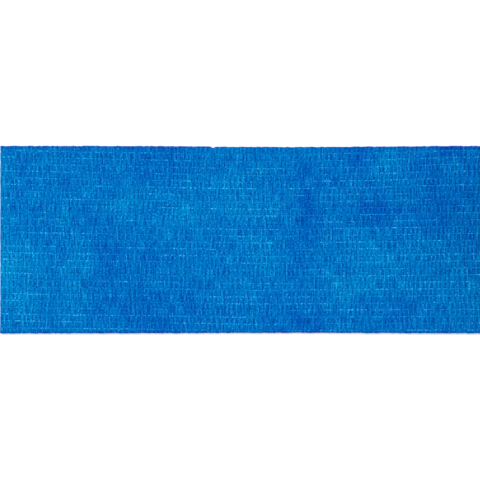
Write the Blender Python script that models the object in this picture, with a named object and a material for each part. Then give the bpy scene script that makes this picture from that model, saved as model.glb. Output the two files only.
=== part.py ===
"""Self-gripping elastic hand wrap: a roll lying on its side, its free end drawn out flat on the table.

+X runs along the drawn-out band from the cut end towards the roll, +Y across the band, +Z up.
The origin is the middle of the footprint, on the table.
The band is two thin nonwoven webs with a row of elastic yarns glued between them. It lies flat from
the cut end, passes under the roll, climbs the roll's +X side and winds inwards on to a board tube.
"""

import math

import bmesh
import bpy
from mathutils import Matrix

# Driving dimensions, in metres.
BAND_WIDTH = 0.050
BAND_THICKNESS = 0.0010  # relaxed and puckered, as in the flat run
WEB_THICKNESS = 0.00012
YARN_DIAMETER = 0.0002
YARN_COUNT = 27
YARN_PITCH = 0.00182  # 14 yarns to the inch
FREE_LENGTH = 0.160  # flat run, from the cut end to the line where the band leaves the table
ROLL_RADIUS = 0.029
CORE_RADIUS = 0.0125
CORE_WALL = 0.0020
CLEARANCE = 0.0003  # left between pieces that touch

ROUND_STEPS = 64  # flat facets in one turn
YARN_SIDES = 12

# The outer turn closes on top of the flat run, so in one turn it comes in by both of these.
OUTER_TURN_PITCH = BAND_THICKNESS + CLEARANCE
OUTER_TURN_THICKNESS = BAND_THICKNESS - CLEARANCE  # pressed by the winding
WOUND_RADIUS = ROLL_RADIUS - OUTER_TURN_PITCH - OUTER_TURN_THICKNESS - CLEARANCE


def turn_point(start_radius, step):
    """(x, z) about the roll's centre: step 0 is straight down, and the steps climb the +X side first."""
    angle = 2 * math.pi * step / ROUND_STEPS
    radius = start_radius - OUTER_TURN_PITCH * step / ROUND_STEPS
    return radius * math.sin(angle), -radius * math.cos(angle)


ROLL_REACH = max(turn_point(ROLL_RADIUS, step)[0] for step in range(ROUND_STEPS))
ROLL_X = (FREE_LENGTH - ROLL_REACH) / 2  # puts the origin midway along the whole object
CUT_END_X = ROLL_X - FREE_LENGTH


def make_material(name, colour, roughness):
    """A plain non-metallic finish."""
    material = bpy.data.materials.new(name)
    material.use_nodes = True
    shader = material.node_tree.nodes["Principled BSDF"]
    shader.inputs["Base Color"].default_value = (*colour, 1)
    shader.inputs["Roughness"].default_value = roughness
    shader.inputs["Metallic"].default_value = 0
    return material


def add_piece(name, mesh, material, parent, location=(0, 0, 0)):
    """Puts a finished bmesh into the scene as a named piece, carried by an empty."""
    data = bpy.data.meshes.new(name)
    mesh.to_mesh(data)
    mesh.free()
    data.materials.append(material)
    piece = bpy.data.objects.new(name, data)
    piece.location = location
    piece.parent = parent
    bpy.context.scene.collection.objects.link(piece)
    return piece


def add_carrier(name, location, parent=None):
    """An empty that carries the pieces of one group, standing on the group's joint."""
    carrier = bpy.data.objects.new(name, None)
    carrier.location = location
    carrier.parent = parent
    bpy.context.scene.collection.objects.link(carrier)
    return carrier


def shade_round(piece):
    """Smooth shading on round faces, with the rims kept sharp."""
    piece.data.shade_smooth()
    piece.data.set_sharp_from_angle(angle=math.radians(40))


def slab(length, width, height):
    """A flat closed sheet centred on its own origin."""
    mesh = bmesh.new()
    bmesh.ops.create_cube(mesh, size=1)
    bmesh.ops.scale(mesh, vec=(length, width, height), verts=mesh.verts)
    return mesh


def rod(length, diameter):
    """A closed round rod along X, centred on its own origin."""
    mesh = bmesh.new()
    bmesh.ops.create_cone(
        mesh,
        cap_ends=True,
        segments=YARN_SIDES,
        radius1=diameter / 2,
        radius2=diameter / 2,
        depth=length,
        matrix=Matrix.Rotation(math.pi / 2, 4, "Y"),
    )
    return mesh


def tube(outer_radius, inner_radius, length):
    """A closed tube along Y, turned from its wall's rectangular profile."""
    mesh = bmesh.new()
    corners = [
        mesh.verts.new((radius, y, 0))
        for radius, y in (
            (outer_radius, -length / 2),
            (outer_radius, length / 2),
            (inner_radius, length / 2),
            (inner_radius, -length / 2),
        )
    ]
    profile = [mesh.edges.new((corners[i], corners[(i + 1) % 4])) for i in range(4)]
    bmesh.ops.spin(
        mesh,
        geom=corners + profile,
        axis=(0, 1, 0),
        cent=(0, 0, 0),
        angle=2 * math.pi,
        steps=ROUND_STEPS,
        use_merge=True,
    )
    bmesh.ops.recalc_face_normals(mesh, faces=mesh.faces)
    return mesh


def one_turn():
    """The band's outermost turn: one turn of a spiral, closed at its two ends and its two slit edges."""
    mesh = bmesh.new()
    rows = []
    for step in range(ROUND_STEPS + 1):
        outer_x, outer_z = turn_point(ROLL_RADIUS, step)
        inner_x, inner_z = turn_point(ROLL_RADIUS - OUTER_TURN_THICKNESS, step)
        rows.append(
            [
                mesh.verts.new((outer_x, -BAND_WIDTH / 2, outer_z)),
                mesh.verts.new((outer_x, BAND_WIDTH / 2, outer_z)),
                mesh.verts.new((inner_x, BAND_WIDTH / 2, inner_z)),
                mesh.verts.new((inner_x, -BAND_WIDTH / 2, inner_z)),
            ]
        )
    for row, after in zip(rows, rows[1:]):
        for side in range(4):
            other = (side + 1) % 4
            mesh.faces.new((row[side], row[other], after[other], after[side]))
    mesh.faces.new(rows[0])
    mesh.faces.new(rows[-1])
    bmesh.ops.recalc_face_normals(mesh, faces=mesh.faces)
    return mesh


for old in list(bpy.data.objects):
    bpy.data.objects.remove(old)

web_finish = make_material("blue_nonwoven_web", (0.004, 0.165, 0.527), 0.85)
yarn_finish = make_material("blue_elastic_yarn", (0.020, 0.270, 0.680), 0.60)
wound_finish = make_material("blue_wound_band", (0.003, 0.140, 0.470), 0.88)
board_finish = make_material("grey_board", (0.520, 0.490, 0.440), 0.90)

# The flat run lies on the table. It ends just short of the outer turn, which carries it on.
run_length = FREE_LENGTH - CLEARANCE
flat_run = add_carrier("flat_run", (CUT_END_X + run_length / 2, 0, 0))

for web_name, web_height in (
    ("back_web", WEB_THICKNESS / 2),
    ("face_web", BAND_THICKNESS - WEB_THICKNESS / 2),
):
    web = slab(run_length, BAND_WIDTH, WEB_THICKNESS)
    add_piece(web_name, web, web_finish, flat_run, (0, 0, web_height))

for number in range(YARN_COUNT):
    yarn_place = (0, (number - (YARN_COUNT - 1) / 2) * YARN_PITCH, BAND_THICKNESS / 2)
    yarn_name = f"elastic_yarn_{number + 1:02d}"
    yarn = add_piece(yarn_name, rod(run_length, YARN_DIAMETER), yarn_finish, flat_run, yarn_place)
    shade_round(yarn)

# The roll travels along the flat run as it winds it up, and all but its outer turn spins about its centre.
roll_carriage = add_carrier("roll_carriage", (ROLL_X, 0, ROLL_RADIUS))
shade_round(add_piece("outer_turn", one_turn(), wound_finish, roll_carriage))

# The inner turns lie tight on one another, so they are one thick ring here.
roll_axis = add_carrier("roll_axis", (0, 0, 0), roll_carriage)
wound_ring = tube(WOUND_RADIUS, CORE_RADIUS + CLEARANCE, BAND_WIDTH)
shade_round(add_piece("wound_turns", wound_ring, wound_finish, roll_axis))
core = tube(CORE_RADIUS, CORE_RADIUS - CORE_WALL, BAND_WIDTH)
shade_round(add_piece("core_tube", core, board_finish, roll_axis))
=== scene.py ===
"""A self-gripping elastic hand wrap, blue: its free end lies flat and the rest is wound on a board tube.

The piece is shown as it is put together: the elastic yarns, the two webs that they are glued between,
the board tube, the turns wound on it, and the outer turn that leaves the table.
"""

import math

import bpy
import numpy as np
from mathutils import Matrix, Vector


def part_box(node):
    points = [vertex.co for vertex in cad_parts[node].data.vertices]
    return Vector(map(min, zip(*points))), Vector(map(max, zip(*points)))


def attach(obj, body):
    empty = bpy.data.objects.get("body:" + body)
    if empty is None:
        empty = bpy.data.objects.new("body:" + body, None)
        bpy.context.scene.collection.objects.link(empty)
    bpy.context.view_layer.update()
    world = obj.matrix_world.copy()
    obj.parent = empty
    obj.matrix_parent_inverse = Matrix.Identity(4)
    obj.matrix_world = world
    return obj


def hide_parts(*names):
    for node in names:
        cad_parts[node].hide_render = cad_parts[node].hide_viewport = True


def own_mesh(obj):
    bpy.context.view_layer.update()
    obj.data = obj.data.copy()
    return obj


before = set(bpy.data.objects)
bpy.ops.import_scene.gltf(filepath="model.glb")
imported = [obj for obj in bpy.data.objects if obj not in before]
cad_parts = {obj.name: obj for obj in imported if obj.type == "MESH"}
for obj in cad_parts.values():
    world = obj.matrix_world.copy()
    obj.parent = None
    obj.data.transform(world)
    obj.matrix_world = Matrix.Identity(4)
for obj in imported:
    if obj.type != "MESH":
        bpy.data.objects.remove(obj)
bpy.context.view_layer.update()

# ---------------------------------------------------------------------------------------------------
# Camera
# It hangs straight over the free end of the band, with the cut end at the left edge of the picture
# and the roll just outside the right edge.
# ---------------------------------------------------------------------------------------------------

run_low, run_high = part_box("face_web")
CUT_END = run_low[0]
BAND_TOP = run_high[2]
BAND_SHOWN = 0.12835  # length of band in the picture
PAST_CUT_END = 0.06416  # from the cut end to the middle of the picture
ASIDE = -0.00010  # from the band's middle to the middle of the picture
LENS = 150  # a long lens, in millimetres, so that the band looks as flat as it is
SENSOR = 36

camera_data = bpy.data.cameras.new("camera")
camera_data.lens = LENS
camera_data.sensor_width = SENSOR
camera_data.clip_start = 0.01
camera_data.dof.use_dof = False
camera = bpy.data.objects.new("camera", camera_data)
camera.location = (CUT_END + PAST_CUT_END, ASIDE, BAND_TOP + BAND_SHOWN * LENS / SENSOR)
bpy.context.scene.collection.objects.link(camera)
bpy.context.scene.camera = camera

# ---------------------------------------------------------------------------------------------------
# Elastic yarns
# Twenty-seven yarns of fine bare rubber, dyed blue, run the whole length of the band, 14 to the inch.
# They are held stretched while the webs are glued on, so they crinkle the webs when they let go.
# ---------------------------------------------------------------------------------------------------

YARN_COUNT = 27
YARN_PITCH = 0.00182
YARN_RADIUS = 0.0001
YARN_SIDES = 8
BAND_WIDTH = run_high[1] - run_low[1]
FREE_LENGTH = 0.160
MID_PLANE = BAND_TOP / 2


def drift(u, v, seed):
    """Smooth random values from -1 to 1 that change over about one unit of u and of v."""
    table = np.random.default_rng(seed).uniform(-1, 1, (256, 256))
    u, v = np.broadcast_arrays(np.asarray(u, float), np.asarray(v, float))
    low_u = np.floor(u).astype(int)
    low_v = np.floor(v).astype(int)
    mix_u = u - low_u
    mix_v = v - low_v
    mix_u = mix_u * mix_u * (3 - 2 * mix_u)
    mix_v = mix_v * mix_v * (3 - 2 * mix_v)
    near = table[low_u % 256, low_v % 256] * (1 - mix_u) + table[(low_u + 1) % 256, low_v % 256] * mix_u
    far = (
        table[low_u % 256, (low_v + 1) % 256] * (1 - mix_u)
        + table[(low_u + 1) % 256, (low_v + 1) % 256] * mix_u
    )
    return near * (1 - mix_v) + far * mix_v


def ease(value, start, end):
    """0 before start, 1 after end, and smooth between."""
    part = np.clip((value - start) / (end - start), 0, 1)
    return part * part * (3 - 2 * part)


def bump_at(along, middle, reach):
    """A smooth bump: 1 at the middle, about a third at the reach on either side, and 0 well past it."""
    return np.exp(-(((along - middle) / reach) ** 2))


def sideways(along, lane):
    """Y of a lane, counted in yarns from the -Y side, at that distance along the band.

    Relaxed, the band bows by up to half a millimetre: its far yarns and near yarns differently, and its
    slit edges least. The roll's pull straightens all of it before the band reaches the roll.
    """
    from_waist = along - 0.066
    reach = np.where(from_waist < 0, 0.061, 0.0495)
    bow_far = -0.00053 + 0.0008 * np.minimum((from_waist / reach) ** 2, 1.3)
    bow_near = -0.00027 + 0.00054 * np.exp(-along / 0.020)
    bow = bow_near + (bow_far - bow_near) * np.clip(lane / (YARN_COUNT - 1), 0, 1)
    bow = bow - 0.00006 - 0.00046 * bump_at(along, 0.072, 0.024)
    bow = bow - 0.00020 * ease(along, 0.085, 0.105)
    bow_slit = np.where(lane > YARN_COUNT / 2, -0.00031, 0.00014) * bump_at(along, 0.078, 0.030)
    past_yarns = np.clip(np.maximum(-lane, lane - (YARN_COUNT - 1)) / 0.73, 0, 1)
    pulled = ease(along, 0.128, 0.155)
    straight = (lane - (YARN_COUNT - 1) / 2) * YARN_PITCH
    return straight + (bow + (bow_slit - bow) * past_yarns) * (1 - pulled)


def make_object(name, points, faces, materials):
    """A mesh object from its points and faces, smooth shaded, with its materials."""
    mesh = bpy.data.meshes.new(name)
    mesh.from_pydata(np.asarray(points, float).tolist(), [], faces)
    for material in materials:
        mesh.materials.append(material)
    mesh.validate()
    mesh.shade_smooth()
    thing = bpy.data.objects.new(name, mesh)
    bpy.context.scene.collection.objects.link(thing)
    return thing


def ring_faces(rings, sides):
    """Faces of a rod of that many rings, each of that many points, with flat ends."""
    faces = []
    for ring in range(rings - 1):
        first = ring * sides
        for side in range(sides):
            other = (side + 1) % sides
            faces.append((first + side, first + other, first + sides + other, first + sides + side))
    faces.append(tuple(range(sides - 1, -1, -1)))
    faces.append(tuple(range((rings - 1) * sides, rings * sides)))
    return faces


def linear(hex_colour):
    """An sRGB colour such as '#0571C0' as linear red, green, blue and alpha."""
    parts = [int(hex_colour[i : i + 2], 16) / 255 for i in (1, 3, 5)]
    return [p / 12.92 if p <= 0.04045 else ((p + 0.055) / 1.055) ** 2.4 for p in parts] + [1.0]


def add_node(tree, kind, settings=None, links=None):
    """Adds a node. settings are its properties and its unlinked inputs, links its linked inputs."""
    node = tree.nodes.new(kind)
    for name, value in (settings or {}).items():
        if hasattr(node, str(name)):
            setattr(node, name, value)
        else:
            node.inputs[name].default_value = value
    for name, source in (links or {}).items():
        tree.links.new(source, node.inputs[name])
    return node


def new_material(name):
    """An empty material, its node tree and its surface input."""
    material = bpy.data.materials.new(name)
    material.use_nodes = True
    material.node_tree.nodes.clear()
    output = material.node_tree.nodes.new("ShaderNodeOutputMaterial")
    return material, material.node_tree, output.inputs["Surface"]


# Rubber thread, dyed through: slightly glossy, and paler in streaks 0.8 mm long and 0.1 mm across, where
# the pull has thinned the dye.
rubber, tree, surface = new_material("dyed rubber thread")
place = add_node(tree, "ShaderNodeUVMap", {"uv_map": "real_size"})
stretch = add_node(
    tree, "ShaderNodeMapping", {"Scale": (1 / 0.0008, 1 / 0.0001, 1)}, {"Vector": place.outputs["UV"]}
)
grain = add_node(
    tree, "ShaderNodeTexNoise", {"Scale": 1.0, "Detail": 3.0}, {"Vector": stretch.outputs[0]}
)
tone = add_node(tree, "ShaderNodeValToRGB", {}, {"Fac": grain.outputs["Fac"]})
tone.color_ramp.elements[0].color = linear("#0A66B4")
tone.color_ramp.elements[0].position = 0.35
tone.color_ramp.elements[1].color = linear("#3C9BD8")
tone.color_ramp.elements[1].position = 0.70
nap = add_node(
    tree, "ShaderNodeBump", {"Strength": 0.4, "Distance": 0.00002}, {"Height": grain.outputs["Fac"]}
)
shader = add_node(
    tree,
    "ShaderNodeBsdfPrincipled",
    {"Roughness": 0.55, "IOR": 1.52, "Specular IOR Level": 0.3},
    {"Base Color": tone.outputs["Color"], "Normal": nap.outputs["Normal"]},
)
tree.links.new(shader.outputs[0], surface)


def measure_uv(thing, along, across):
    """A UV map in metres: distance along the band, and across it."""
    layer = thing.data.uv_layers.new(name="real_size")
    corner_points = np.empty(len(thing.data.loops), int)
    thing.data.loops.foreach_get("vertex_index", corner_points)
    pairs = np.stack([np.ravel(along)[corner_points], np.ravel(across)[corner_points]], axis=1)
    layer.data.foreach_set("uv", pairs.ravel())


SHORT_OF_TURN = 0.0004  # left between a yarn's end and the outer turn, which carries it on
yarn_along = np.linspace(0.0, FREE_LENGTH - SHORT_OF_TURN, 241)
for number in range(YARN_COUNT):
    yarn_y = sideways(yarn_along, number)
    yarn_z = MID_PLANE + 0.00004 * drift(yarn_along / 0.0012, number * 3, 51)
    turn = np.linspace(0, 2 * np.pi, YARN_SIDES, endpoint=False)
    thick = YARN_RADIUS * (1 + 0.15 * drift(yarn_along / 0.004, number * 5, 52))
    # The blade leaves each yarn a little longer or shorter than the webs.
    stub = 0.00015 * drift(0.5, number * 7 + 0.5, 53)
    yarn_x = CUT_END + yarn_along
    yarn_x[0] += stub
    points = np.stack(
        [
            np.repeat(yarn_x, YARN_SIDES),
            (yarn_y[:, None] + thick[:, None] * np.cos(turn)).ravel(),
            (yarn_z[:, None] + thick[:, None] * np.sin(turn)).ravel(),
        ],
        axis=1,
    )
    yarn = make_object(
        f"yarn_{number + 1:02d}", points, ring_faces(len(yarn_along), YARN_SIDES), [rubber]
    )
    measure_uv(yarn, np.repeat(yarn_along, YARN_SIDES), np.tile(turn * YARN_RADIUS, len(yarn_along)))
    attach(yarn, "flat_run")
    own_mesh(yarn)
    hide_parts(f"elastic_yarn_{number + 1:02d}")

# ---------------------------------------------------------------------------------------------------
# Webs
# Two thin nonwovens of blue polyester fibre, one glued over the yarns and one under them with latex,
# which also makes them cling to themselves. Between the yarns they stand up in small pleats.
# ---------------------------------------------------------------------------------------------------

PLEAT = 0.00118  # from one pleat to the next, along the band
PLEAT_HEIGHT = 0.00024
CELLS_PER_LANE = 6  # mesh faces between two yarns
EDGE_CELLS = 4  # and between the last yarn and the slit edge
EDGE_LANES = (BAND_WIDTH / YARN_PITCH - (YARN_COUNT - 1)) / 2  # last yarn to slit edge, in lanes
WEB_LOW = 0.00018  # from the band's middle to a web's outside, where it is held down on a yarn
EDGE_LOW = 0.00012  # and on the slit edges, which the blade presses together
HAIR = 0.00002  # the least room left between two surfaces that touch


def count_pleats(along, lane, seed):
    """How many pleats there are up to that point: they wander together, and a little row by row."""
    row = np.floor(lane)
    return (
        along / PLEAT
        + 0.90 * drift(along / 0.019, lane / 7.0, seed)
        + 0.32 * drift(along / 0.0045, row * 5, seed + 1)
        + 0.09 * drift(along / 0.0013, lane * 1.9, seed + 2)
    )


def stand_up(along, lane, seed):
    """Height of a web over its yarns, about 0 to 1: held down on each yarn, in pleats between them."""
    open_web = np.sin(np.pi * (lane - np.floor(lane))) ** 0.7
    free = np.maximum(-lane, lane - (YARN_COUNT - 1))
    open_web = np.where(free > 0, np.minimum(1, free / 0.35), open_web)
    count = count_pleats(along, lane, seed)
    pleat = 0.5 + 0.5 * np.cos(2 * np.pi * count)
    shift = 2 * drift(along / 0.004, np.floor(lane) * 3, seed + 3)
    pair = 0.5 + 0.5 * np.cos(1.1 * np.pi * count + shift)
    size = 0.75 + 0.35 * drift(along / 0.0018, lane * 1.3, seed + 4)
    rough = drift(along / 0.00045, lane * 2.6, seed + 5)
    return open_web * size * (0.76 * pleat + 0.24 * pair) + 0.14 * rough + 0.10


def patches(along, y):
    """How thin the web is drawn there, so how pale: thick and thin patches left by the laying of the
    fibre, and painted shade, drawn as thick web, along the slit edges and in one patch.
    """
    web_thinness_and_shade = 0.50 * drift(along / 0.0034, y / 0.0040, 32) + 0.50 * drift(along / 0.0014, y / 0.0024, 33)
    web_thinness_and_shade = web_thinness_and_shade + 0.9 * ease(drift(along / 0.0021, y / 0.0034, 34), 0.45, 0.95)
    web_thinness_and_shade = web_thinness_and_shade + 0.9 * ease(along, 0.128, 0.150) * drift(along / 0.0095, y / 0.0075, 31)
    # Painted shade darkens the slit edges, drawn as thick web, and the cut end is drawn thick too.
    web_thinness_and_shade = web_thinness_and_shade - 1.2 * ease(np.abs(y), BAND_WIDTH / 2 - 0.0009, BAND_WIDTH / 2 - 0.0003)
    web_thinness_and_shade = web_thinness_and_shade - 1.2 * (1 - ease(along, 0.0001, 0.0007))
    # The large ones, in millimetres: along, across, reach along, reach across, and how much thinner.
    for patch in (
        (1, -7, 8, 9, 2.2),
        (0, 13, 3, 12, 1.4),
        (5, -19, 4, 4, 1.5),
        (20, -13, 3, 13, 1.2),
        (29, -7, 4, 8, -1.2),
        (34, 10, 4, 4, 1.7),
        (42, -20, 12, 7, -0.9),
        (41, -4, 3, 6, -0.9),
        (46, 23, 8, 8, -0.8),
        (49, 7, 4, 4, 1.2),
        (59, 10, 12, 8, 1.0),
        (71, -4, 6, 5, 0.9),
        (82, 9, 3, 14, -1.3),
        (81, -23, 7, 5, -1.3),
        (92, -15, 4, 4, 1.3),
        (96, 23, 4, 4, -1.3),
        (100, 8, 4, 4, -1.7),
        (100, -7, 11, 8, 1.4),
        (104, 21, 3, 3, 1.6),
        (109, -18, 7, 5, -0.7),
        (116, 11, 6, 8, -0.9),
        # This one is painted shade, darkening the far side of the band 122 mm from the cut end.
        (122, 25, 7, 3, -2.0),
        (120, -11, 8, 8, 0.9),
        (128, -16, 4, 9, 0.7),
        (110, -4, 4, 4, 0.6),
    ):
        place_along, place_across, reach_along, reach_across, thinner = patch
        far_along = (along * 1000 - place_along) / reach_along
        far_across = (y * 1000 - place_across) / reach_across
        web_thinness_and_shade = web_thinness_and_shade + thinner * np.exp(-(far_along**2) - far_across**2)
    return web_thinness_and_shade


def ridge_and_glint(along, lane):
    """How strongly the ridge over the nearest yarn stands and its painted glints show, 0 to 1: each yarn
    has them in some stretches.
    """
    yarn = np.round(lane)
    ridge_and_glint_strength = drift(along / 0.009, yarn * 5, 44) + 0.6 * drift(along / 0.0030, yarn * 3, 45)
    return 0.52 + 0.42 * ease(ridge_and_glint_strength + 0.25 * ease(along, 0.05, 0.12), -0.4, 0.7)


# Fine polyester fibre bonded with latex: dead matt, with a faint pale bloom at grazing angles. Its colour
# is painted darker in the folds and beside the yarns, as painted shade, and paler on the pleats' crests,
# as painted highlight; where the web is thin it turns greener. The fibres, about 0.015 mm thick, are too
# fine to show, so bundles and specks of them are drawn.
web_finish, tree, surface = new_material("blue nonwoven, latex coated")
place = add_node(tree, "ShaderNodeUVMap", {"uv_map": "real_size"})
pleat_count = add_node(tree, "ShaderNodeAttribute", {"attribute_name": "pleat_count"})
lane_number = add_node(tree, "ShaderNodeAttribute", {"attribute_name": "lane_number"})
# How thin the web is drawn, with painted shade along the slit edges drawn as thick web.
thinness_and_shade = add_node(tree, "ShaderNodeAttribute", {"attribute_name": "thinness_and_shade"})
# How strong the painted glints on the yarn lines are.
ridge_and_glint_strength = add_node(tree, "ShaderNodeAttribute", {"attribute_name": "ridge_and_glint"})

turn = add_node(
    tree, "ShaderNodeMath", {"operation": "MULTIPLY", 1: 2 * math.pi}, {0: pleat_count.outputs["Fac"]}
)
wave = add_node(tree, "ShaderNodeMath", {"operation": "COSINE"}, {0: turn.outputs[0]})
crest = add_node(
    tree, "ShaderNodeMapRange", {"From Min": -0.9, "From Max": 1.0}, {"Value": wave.outputs[0]}
)
off_yarn = add_node(
    tree, "ShaderNodeMath", {"operation": "PINGPONG", 1: 0.5}, {0: lane_number.outputs["Fac"]}
)
open_web = add_node(
    tree,
    "ShaderNodeMapRange",
    {"interpolation_type": "SMOOTHSTEP", "From Min": 0.05, "From Max": 0.24},
    {"Value": off_yarn.outputs[0]},
)
on_yarn = add_node(
    tree,
    "ShaderNodeMapRange",
    {
        "interpolation_type": "SMOOTHSTEP",
        "From Min": 0.04,
        "From Max": 0.13,
        "To Min": 1.0,
        "To Max": 0.08,
    },
    {"Value": off_yarn.outputs[0]},
)
# The pleats' height between the yarns, for the bump; in the colour it is painted shade in the folds and
# beside the yarns, and painted highlight on the crests.
pleat_height_and_shade = add_node(
    tree, "ShaderNodeMath", {"operation": "MULTIPLY"}, {0: crest.outputs[0], 1: open_web.outputs[0]}
)

# Bundles of fibre 0.34 mm wide and 3.4 mm long lie across the band. Between them are fibre ends and
# specks of latex, 0.34 mm by 0.48 mm.
bundle_place = add_node(
    tree, "ShaderNodeMapping", {"Scale": (1 / 0.00034, 1 / 0.0034, 1)}, {"Vector": place.outputs["UV"]}
)
bundles = add_node(
    tree, "ShaderNodeTexNoise", {"Scale": 1.0, "Detail": 0.5}, {"Vector": bundle_place.outputs[0]}
)
speck_place = add_node(
    tree, "ShaderNodeMapping", {"Scale": (1 / 0.00034, 1 / 0.00048, 1)}, {"Vector": place.outputs["UV"]}
)
specks = add_node(
    tree, "ShaderNodeTexNoise", {"Scale": 1.0, "Detail": 0.5}, {"Vector": speck_place.outputs[0]}
)
# How pale the web is drawn, about 0 to 1: painted highlight on the pleats' crests against painted shade
# in the folds, the bundles and the specks add up.
pale = add_node(
    tree, "ShaderNodeMath", {"operation": "MULTIPLY_ADD", 1: 0.21, 2: -0.88}, {0: pleat_height_and_shade.outputs[0]}
)
pale = add_node(
    tree,
    "ShaderNodeMath",
    {"operation": "MULTIPLY_ADD", 1: 1.15},
    {0: bundles.outputs["Fac"], 2: pale.outputs[0]},
)
pale = add_node(
    tree,
    "ShaderNodeMath",
    {"operation": "MULTIPLY_ADD", 1: 1.40},
    {0: specks.outputs["Fac"], 2: pale.outputs[0]},
)
# The dye's tone, with painted shade at its dark end and painted highlight at its pale end.
dye_and_painted_pleat_shade = add_node(tree, "ShaderNodeValToRGB", {}, {"Fac": pale.outputs[0]})
dye_and_painted_pleat_shade.color_ramp.elements[0].position = 0.05
dye_and_painted_pleat_shade.color_ramp.elements[0].color = linear("#003C88")
dye_and_painted_pleat_shade.color_ramp.elements[1].position = 0.98
dye_and_painted_pleat_shade.color_ramp.elements[1].color = linear("#2888C6")
dye_and_painted_pleat_shade.color_ramp.elements.new(0.88).color = linear("#077EBF")
dye_and_painted_pleat_shade.color_ramp.elements.new(0.76).color = linear("#0275BA")
dye_and_painted_pleat_shade.color_ramp.elements.new(0.50).color = linear("#0062AE")
shade = add_node(
    tree, "ShaderNodeMapRange", {"From Min": -3.0, "From Max": 3.0}, {"Value": thinness_and_shade.outputs["Fac"]}
)
# What the thickest and the thinnest web multiply the dye's linear red, green and blue by; the painted
# shade along the slit edges takes the thick end.
shade = add_node(tree, "ShaderNodeValToRGB", {}, {"Fac": shade.outputs[0]})
shade.color_ramp.elements[0].color = (1.0, 0.40, 0.86, 1)
shade.color_ramp.elements[1].color = (1.0, 1.60, 1.14, 1)
# The web's tone, with painted shade in the folds and along the slit edges.
tone_and_shade = add_node(
    tree,
    "ShaderNodeMix",
    {"data_type": "RGBA", "blend_type": "MULTIPLY", "Factor": 1.0},
    {"A": dye_and_painted_pleat_shade.outputs["Color"], "B": shade.outputs["Color"]},
)

# Painted glints: dots of painted highlight 0.4 mm by 0.5 mm along the yarns, over a faint painted
# highlight along each yarn line. The strongest are the palest.
dot_place = add_node(
    tree, "ShaderNodeMapping", {"Scale": (1 / 0.00040, 1 / 0.0005, 1)}, {"Vector": place.outputs["UV"]}
)
dots = add_node(
    tree, "ShaderNodeTexNoise", {"Scale": 1.0, "Detail": 1.0}, {"Vector": dot_place.outputs[0]}
)
dots = add_node(
    tree,
    "ShaderNodeMapRange",
    {"From Min": 0.49, "From Max": 0.68, "To Min": 0.11, "To Max": 1.0},
    {"Value": dots.outputs["Fac"]},
)
dots = add_node(
    tree, "ShaderNodeMath", {"operation": "MULTIPLY"}, {0: dots.outputs[0], 1: on_yarn.outputs[0]}
)
dots = add_node(
    tree, "ShaderNodeMath", {"operation": "MULTIPLY"}, {0: dots.outputs[0], 1: ridge_and_glint_strength.outputs["Fac"]}
)
glint_colour = add_node(tree, "ShaderNodeValToRGB", {}, {"Fac": dots.outputs[0]})
glint_colour.color_ramp.elements[0].position = 0.40
glint_colour.color_ramp.elements[0].color = linear("#0CA8E8")
glint_colour.color_ramp.elements[1].position = 0.90
glint_colour.color_ramp.elements[1].color = linear("#3CBEE8")
colour = add_node(
    tree,
    "ShaderNodeMix",
    {"data_type": "RGBA"},
    {"Factor": dots.outputs[0], "A": tone_and_shade.outputs["Result"], "B": glint_colour.outputs["Color"]},
)
relief = add_node(
    tree,
    "ShaderNodeMath",
    {"operation": "MULTIPLY_ADD", 1: 0.8},
    {0: bundles.outputs["Fac"], 2: pleat_height_and_shade.outputs[0]},
)
nap = add_node(
    tree, "ShaderNodeBump", {"Strength": 0.6, "Distance": 0.00010}, {"Height": relief.outputs[0]}
)
shader = add_node(
    tree,
    "ShaderNodeBsdfPrincipled",
    {
        "Roughness": 0.9,
        "Specular IOR Level": 0.01,
        "Sheen Weight": 0.03,
        "Sheen Roughness": 0.6,
        "Sheen Tint": linear("#2F9BE6"),
    },
    {"Base Color": colour.outputs["Result"], "Normal": nap.outputs["Normal"]},
)
tree.links.new(shader.outputs[0], surface)

web_lane = np.concatenate(
    [
        np.linspace(-EDGE_LANES, 0, EDGE_CELLS, endpoint=False),
        np.linspace(0, YARN_COUNT - 1, (YARN_COUNT - 1) * CELLS_PER_LANE, endpoint=False),
        np.linspace(YARN_COUNT - 1, YARN_COUNT - 1 + EDGE_LANES, EDGE_CELLS + 1),
    ]
)


def add_attribute(thing, name, values):
    """Stores one number for each point, for the material."""
    layer = thing.data.attributes.new(name, "FLOAT", "POINT")
    layer.data.foreach_set("value", np.ravel(values).astype(np.float32))


def yarn_ridge(lane, cells):
    """1 on a yarn and 0 one cell off it."""
    inside = (lane > -0.1) & (lane < YARN_COUNT - 0.9)
    return np.where(inside, np.clip(1 - np.abs(lane - np.round(lane)) * cells, 0, 1), 0)


def describe(thing, along, lane, y, seed):
    """Gives a piece of band the numbers that its finish needs, point by point."""
    thinness_and_shade = patches(along, y)
    measure_uv(thing, along, y)
    add_attribute(thing, "pleat_count", count_pleats(along, lane, seed))
    add_attribute(thing, "lane_number", lane)
    add_attribute(thing, "thinness_and_shade", thinness_and_shade)
    # Where the web is drawn thinner, the painted glints over the yarns are stronger.
    add_attribute(thing, "ridge_and_glint", ridge_and_glint(along, lane) * (1.03 + 0.17 * np.clip(thinness_and_shade, -2, 2)))


def at_slit(lane):
    """True on the two slit edges."""
    return np.abs(lane - (YARN_COUNT - 1) / 2) > (YARN_COUNT - 1) / 2 + EDGE_LANES - 0.01


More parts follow.
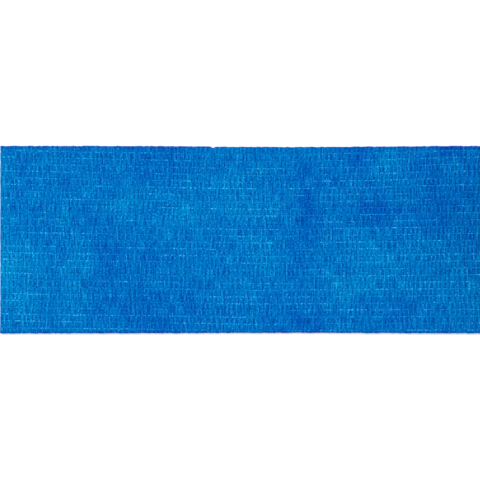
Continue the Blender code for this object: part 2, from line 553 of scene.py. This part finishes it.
def make_web(name, step, side, seed):
    """One web of the flat run, puckered outside and flat at the band's middle.

    step is how far apart its mesh's rows are, and side is 1 for the face and -1 for the back.
    """
    stops = int(round(FREE_LENGTH / step)) + 1
    along, lane = np.meshgrid(np.linspace(0, FREE_LENGTH, stops), web_lane, indexing="ij")
    y = sideways(along, lane)
    # Each fold makes a small tooth on the slit edges, and the far one has a nick 57 mm from the cut end.
    edge = at_slit(lane)
    tooth = 0.00010 + 0.00007 * drift(along / 0.0007, np.sign(lane) * 9, 41)
    nick = 0.00045 * bump_at(along, 0.0569, 0.0004) * (lane > YARN_COUNT / 2)
    y = np.where(edge, y + np.sign(y) * (tooth - nick), y)
    high = stand_up(along, lane, seed) + 0.15 * yarn_ridge(lane, CELLS_PER_LANE) * ridge_and_glint(along, lane)
    height = MID_PLANE + side * (WEB_LOW + PLEAT_HEIGHT * high)
    height = np.where(edge, MID_PLANE + side * EDGE_LOW, height)
    if side > 0:
        height = np.minimum(height, BAND_TOP + 0.0001)
    else:
        height = np.maximum(height, HAIR)
    # The cut end is ragged between the yarns and runs slightly askew.
    ragged = 0.00004 * drift(3, lane * 1.7, 42) * (1 - ease(along, 0, 0.0006))
    slant = 0.00002 - 0.00004 * (lane / YARN_COUNT) + 0.00006 * (1 - ease(lane, -0.5, 1.0))
    slant = slant * (1 - ease(along, 0, 0.003))
    x = CUT_END + along + ragged - slant
    top = np.stack([x, y, height], axis=-1)
    # Walls go down from the rim to the band's middle, where one flat face closes the web.
    index = np.arange(top.shape[0] * top.shape[1]).reshape(top.shape[:2])
    rim = np.concatenate([index[:, 0], index[-1, 1:], index[-2::-1, -1], index[0, -2:0:-1]])
    bottom = top.reshape(-1, 3)[rim]
    bottom[:, 2] = MID_PLANE
    under = index.size + np.arange(len(rim))
    quads = np.stack([index[:-1, :-1], index[1:, :-1], index[1:, 1:], index[:-1, 1:]], axis=-1)
    walls = np.stack([rim, under, np.roll(under, -1), np.roll(rim, -1)], axis=-1)
    faces = np.concatenate([quads.reshape(-1, 4), walls]).tolist() + [under[::-1].tolist()]
    if side < 0:
        faces = [face[::-1] for face in faces]
    web = make_object(name, np.concatenate([top.reshape(-1, 3), bottom]), faces, [web_finish])
    all_along, all_lane, all_y = (
        np.concatenate([grid.ravel(), grid.ravel()[rim]]) for grid in (along, lane, y)
    )
    describe(web, all_along, all_lane, all_y, seed)
    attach(web, "flat_run")
    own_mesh(web)
    return web


back_web = make_web("back_web_cloth", 0.00045, -1, 70)
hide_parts("back_web")

face_web = make_web("face_web_cloth", 0.00028, 1, 60)
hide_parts("face_web")

# ---------------------------------------------------------------------------------------------------
# Board tube
# The band is wound on a tube of grey board, three plies of recycled paper wound on a slant and glued.
# Its ends are cut square with a blade, which leaves the rims slightly soft.
# ---------------------------------------------------------------------------------------------------

tube_low, tube_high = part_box("core_tube")
ROLL_X = (tube_low[0] + tube_high[0]) / 2
ROLL_RADIUS = (tube_low[2] + tube_high[2]) / 2
TUBE_RADIUS = (tube_high[0] - tube_low[0]) / 2
TUBE_WALL = 0.0020
HALF_TUBE = (tube_high[1] - tube_low[1]) / 2
PLY_LEAD = 0.036  # how far the slanting seam climbs in one turn

# Recycled grey board: dull, warm grey with darker and paler fibres, and no gloss at all. Its flecks are
# 0.4 mm by 1.2 mm.
board, tree, surface = new_material("grey recycled board")
place = add_node(tree, "ShaderNodeUVMap", {"uv_map": "real_size"})
fibre_place = add_node(
    tree, "ShaderNodeMapping", {"Scale": (1 / 0.0004, 1 / 0.0012, 1)}, {"Vector": place.outputs["UV"]}
)
fibres = add_node(
    tree,
    "ShaderNodeTexNoise",
    {"Scale": 1.0, "Detail": 5.0, "Roughness": 0.7},
    {"Vector": fibre_place.outputs[0]},
)
tone = add_node(tree, "ShaderNodeValToRGB", {}, {"Fac": fibres.outputs["Fac"]})
tone.color_ramp.elements[0].position = 0.3
tone.color_ramp.elements[0].color = linear("#8F867A")
tone.color_ramp.elements[1].position = 0.7
tone.color_ramp.elements[1].color = linear("#C4BAAA")
nap = add_node(
    tree, "ShaderNodeBump", {"Strength": 0.5, "Distance": 0.00008}, {"Height": fibres.outputs["Fac"]}
)
shader = add_node(
    tree,
    "ShaderNodeBsdfPrincipled",
    {"Roughness": 0.95, "Specular IOR Level": 0.2},
    {"Base Color": tone.outputs["Color"], "Normal": nap.outputs["Normal"]},
)
tree.links.new(shader.outputs[0], surface)

TUBE_STEPS = 160
SOFT_RIM = 0.0003  # how far the blade rounds the rims
FINE_LINE = 0.00007  # depth of the two lines between the three plies, seen on the tube's ends
bore_stops = np.linspace(-HALF_TUBE + SOFT_RIM, HALF_TUBE - SOFT_RIM, 101)
end_radii = [SOFT_RIM, 0.0005, 0.00058, 0.00066, 0.0012, 0.00128, 0.00136, TUBE_WALL - SOFT_RIM]
end_depths = [0, 0, FINE_LINE, 0, 0, FINE_LINE, 0, 0]
bore_radius = TUBE_RADIUS - TUBE_WALL
outline = [(TUBE_RADIUS, y) for y in (-HALF_TUBE + SOFT_RIM, HALF_TUBE - SOFT_RIM)]
outline += [(TUBE_RADIUS - r, HALF_TUBE - depth) for r, depth in zip(end_radii, end_depths)]
outline += [(bore_radius, y) for y in bore_stops[::-1]]
outline += [(TUBE_RADIUS - r, depth - HALF_TUBE) for r, depth in zip(end_radii[::-1], end_depths[::-1])]
outline = np.array(outline)
turn = np.linspace(0, 2 * np.pi, TUBE_STEPS, endpoint=False)[:, None]
# The inner ply's slanting seam is a shallow groove in the bore.
past_seam = ((outline[:, 1] / PLY_LEAD - turn / (2 * np.pi)) % 1.0) * PLY_LEAD
in_bore = np.abs(outline[:, 0] - bore_radius) < 1e-6
groove = 0.00012 * bump_at(past_seam, PLY_LEAD / 2, 0.00045) * in_bore
radius = outline[:, 0] + groove + 0.00004 * drift(turn * 3, outline[:, 1] / 0.006, 90)
points = np.stack(
    [
        ROLL_X + radius * np.sin(turn),
        np.broadcast_to(outline[:, 1], radius.shape),
        ROLL_RADIUS - radius * np.cos(turn),
    ],
    axis=-1,
)
sides = len(outline)
faces = []
for step in range(TUBE_STEPS):
    after = (step + 1) % TUBE_STEPS
    for side in range(sides):
        other = (side + 1) % sides
        near = (step * sides + side, step * sides + other)
        faces.append(near + (after * sides + other, after * sides + side))
core_tube = make_object("board_tube", points.reshape(-1, 3), faces, [board])
around = np.broadcast_to(turn * TUBE_RADIUS, radius.shape)
measure_uv(core_tube, around, np.broadcast_to(outline[:, 1] + outline[:, 0], radius.shape))
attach(core_tube, "roll")
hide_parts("core_tube")

# ---------------------------------------------------------------------------------------------------
# Wound turns
# The rest of the band, about two metres of it relaxed, wound tight on the tube in sixteen turns.
# Its two slit edges show at the roll's ends as a spiral of thin puckered layers.
# ---------------------------------------------------------------------------------------------------

WINDING = 0.0010  # one layer of the band in the roll
OUTER_FLOOR = ROLL_RADIUS - WINDING  # the outer turn lies on a circle of this radius
WOUND_TURNS = 16.25
WOUND_FROM = 0.345  # how far along the band, from the cut end, its finish starts here
HAIRLINE = 0.00012  # what shows between two layers
HALF_BAND = BAND_WIDTH / 2
MEAN_RADIUS = 0.020  # of the turns, to measure waves along them


def winding_radius(angle):
    """Outer radius of the layer that the band makes after that angle, from where it goes in.

    The first turn in is a circle under the outer turn. The next ones step in over a sixth of a turn or
    more, and from the sixth on the band comes in evenly, one layer a turn.
    """
    whole = np.floor(angle / (2 * np.pi))
    part = angle / (2 * np.pi) - whole
    span = np.clip((60 + 75 * (whole - 1)) / 360, 1 / 6, 1)
    stepped = ease(part, 0, span)
    even = np.clip((whole - 2) / 3, 0, 1)
    fall = (1 - even) * stepped + even * part
    return OUTER_FLOOR - HAIR - WINDING * np.where(whole < 1, 0, whole - 1 + fall)


def layer_edge(angle, end):
    """Radius of the line between two layers at one end of the roll, with the pleats' waviness."""
    run = angle * MEAN_RADIUS
    wave = 0.00007 * np.sin(2 * np.pi * run / 0.00115 + 3 * drift(run / 0.006, end * 7, 101))
    wave = wave * (0.6 + 0.6 * drift(run / 0.003, end * 5, 102))
    wave = wave + 0.00009 * drift(run / 0.0019, end * 3, 103)
    deep = ease(angle, 2 * np.pi, 2.4 * np.pi)
    return winding_radius(angle) + deep * wave


# Points every 0.26 mm along the band, from its length up to each angle.
fine_angle = np.linspace(0, WOUND_TURNS * 2 * np.pi, 20001)
length = np.concatenate([[0], np.cumsum(winding_radius(fine_angle)[:-1] * np.diff(fine_angle))])
wound_stops = np.arange(0, length[-1], 0.00026)
angle = np.interp(wound_stops, length, fine_angle)
corner_in = 0.00012  # how far a layer's slit edge is rounded
rows = []
for end in (-1, 1):
    outside = layer_edge(angle, end)
    inside = np.maximum(layer_edge(angle + 2 * np.pi, end) + HAIRLINE, TUBE_RADIUS + 0.00005)
    inside = np.minimum(inside, outside - HAIR)
    thick = outside - inside
    # A layer's slit edge is ragged by 0.1 mm, and the layers stand out unevenly by 0.2 mm.
    edge = HALF_BAND + 0.00010 * drift(wound_stops / 0.0009, end * 4, 105) - 0.00012
    edge = edge + 0.00022 * drift(angle / 1.7, end * 4, 106)
    profile = [
        (outside, edge - corner_in),
        (outside - 0.18 * thick, edge),
        (outside - 0.5 * thick, edge - 0.00009),
        (inside + 0.18 * thick, edge),
        (inside, edge - corner_in),
    ]
    if end > 0:
        profile = profile[::-1]
    rows += [(r, end * y) for r, y in profile]
# Halfway across, where nothing pulls the layers apart, each swells against the next one out.
swell = 0.5 * HAIRLINE * ease(angle, 2 * np.pi, 2.4 * np.pi)
rows.append((winding_radius(angle) + swell, 0 * angle))
radius = np.stack([r for r, y in rows], axis=1)
y = np.stack([y for r, y in rows], axis=1)
wound_x = ROLL_X + radius * np.sin(angle)[:, None]
wound_z = ROLL_RADIUS - radius * np.cos(angle)[:, None]
points = np.stack([wound_x, y, wound_z], axis=-1)
wound = make_object("wound_band", points.reshape(-1, 3), ring_faces(len(angle), len(rows)), [web_finish])
all_along = np.broadcast_to((wound_stops + WOUND_FROM)[:, None], y.shape)
measure_uv(wound, all_along, y + radius)
wander = 0.5 * drift(all_along / 0.004, np.sign(y) * 3, 107)
add_attribute(wound, "pleat_count", all_along / PLEAT + wander)
add_attribute(wound, "lane_number", np.full(y.shape, 0.3))
add_attribute(wound, "thinness_and_shade", -0.5 + 1.2 * drift(all_along / 0.006, np.sign(y) * 5, 108))
add_attribute(wound, "ridge_and_glint", np.zeros(y.shape))
# Laid out relaxed, this part of the band is 1.97 m long.
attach(wound, "roll")
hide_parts("wound_turns")

# ---------------------------------------------------------------------------------------------------
# Outer turn
# The last turn laid on the roll. It is the same band as the flat run, which it carries on from where
# the band leaves the table, so the back web is outside. It holds by its own cling.
# ---------------------------------------------------------------------------------------------------

TURN_CELLS = 5  # mesh faces between two yarns
turn_lane = np.concatenate(
    [
        np.linspace(-EDGE_LANES, 0, 3, endpoint=False),
        np.linspace(0, YARN_COUNT - 1, (YARN_COUNT - 1) * TURN_CELLS, endpoint=False),
        np.linspace(YARN_COUNT - 1, YARN_COUNT - 1 + EDGE_LANES, 4),
    ]
)
turn_stops = 600
angle, lane = np.meshgrid(np.linspace(0, 2 * np.pi, turn_stops), turn_lane, indexing="ij")
along = FREE_LENGTH + angle * (ROLL_RADIUS - WINDING / 2)
y = sideways(along, lane)
edge = at_slit(lane)
y = np.where(edge, y + np.sign(y) * 0.00009 * drift(along / 0.0007, np.sign(lane) * 9, 41), y)
high = stand_up(along, lane, 70) + 0.30 * yarn_ridge(lane, TURN_CELLS) * ridge_and_glint(along, lane)
# Over its last 60 degrees it sinks between the layer under it and the next one over it.
taper = 1 - ease(angle, math.radians(300), 2 * np.pi)
skin = WINDING * (0.05 + 0.95 * taper)
relief = PLEAT_HEIGHT * (0.15 + 0.85 * taper)
radius = OUTER_FLOOR + skin - relief * (1 - np.minimum(high, 1.1))
radius = np.where(edge, OUTER_FLOOR + skin * 0.62, radius)
radius = np.maximum(radius, OUTER_FLOOR + HAIR)
outside = np.stack([ROLL_X + radius * np.sin(angle), y, ROLL_RADIUS - radius * np.cos(angle)], axis=-1)
columns = len(turn_lane)
index = np.arange(turn_stops * columns).reshape(turn_stops, columns)
inside_angle = angle[:, :1]
inside_y = y[:, [0, -1]]
inside = np.stack(
    [
        np.broadcast_to(ROLL_X + OUTER_FLOOR * np.sin(inside_angle), inside_y.shape),
        inside_y,
        np.broadcast_to(ROLL_RADIUS - OUTER_FLOOR * np.cos(inside_angle), inside_y.shape),
    ],
    axis=-1,
)
first = turn_stops * columns
under = first + np.arange(turn_stops * 2).reshape(turn_stops, 2)
points = np.concatenate([outside.reshape(-1, 3), inside.reshape(-1, 3)])
quads = np.stack([index[:-1, :-1], index[:-1, 1:], index[1:, 1:], index[1:, :-1]], axis=-1).reshape(-1, 4)
near_side = np.stack([index[:-1, 0], index[1:, 0], under[1:, 0], under[:-1, 0]], axis=-1)
far_side = np.stack([index[:-1, -1], under[:-1, 1], under[1:, 1], index[1:, -1]], axis=-1)
inner_side = np.stack([under[:-1, 0], under[1:, 0], under[1:, 1], under[:-1, 1]], axis=-1)
faces = np.concatenate([quads, near_side, far_side, inner_side]).tolist()
faces.append(index[0, ::-1].tolist() + under[0].tolist())
faces.append(index[-1].tolist() + under[-1, ::-1].tolist())
outer_turn = make_object("outer_turn_cloth", points, faces, [web_finish])
all_along = np.concatenate([along.ravel(), np.repeat(along[:, 0], 2)])
all_lane = np.concatenate([lane.ravel(), lane[:, [0, -1]].ravel()])
describe(outer_turn, all_along, all_lane, np.concatenate([y.ravel(), inside_y.ravel()]), 70)
# Laid out, this turn is 0.178 m long.
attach(outer_turn, "outer_turn")
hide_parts("outer_turn")

# ---------------------------------------------------------------------------------------------------
# Table and lights
# A white light table that glows faintly, one broad soft light 40 degrees up, beyond the cut end and the
# far slit edge, and an even white room around them.
# ---------------------------------------------------------------------------------------------------

# Matt white acrylic, lit faintly from below: it takes most of the shadow away beside the band.
acrylic, tree, surface = new_material("matt white acrylic, lit from below")
shader = add_node(
    tree,
    "ShaderNodeBsdfPrincipled",
    {
        "Base Color": linear("#F3F3F3"),
        "Roughness": 0.9,
        "Specular IOR Level": 0.1,
        "Emission Color": linear("#FFFFFF"),
        "Emission Strength": 0.15,
    },
)
tree.links.new(shader.outputs[0], surface)
HALF_TABLE = 3.0
corners = [(HALF_TABLE * x, HALF_TABLE * y, 0) for x, y in ((-1, -1), (1, -1), (1, 1), (-1, 1))]
table = make_object("table", corners, [(0, 1, 2, 3)], [acrylic])

room = bpy.data.worlds.new("white room")
room.use_nodes = True
background = room.node_tree.nodes["Background"]
background.inputs["Color"].default_value = linear("#FFFFFF")
background.inputs["Strength"].default_value = 0.95
bpy.context.scene.world = room

sun_data = bpy.data.lights.new("high window", "SUN")
sun_data.angle = math.radians(16)  # broad, so that shadows are soft
sun_data.energy = 1.75
sun = bpy.data.objects.new("high window", sun_data)
sun.rotation_euler = (math.radians(-30), math.radians(-42), 0)
bpy.context.scene.collection.objects.link(sun)

bpy.context.scene.view_settings.view_transform = "Standard"
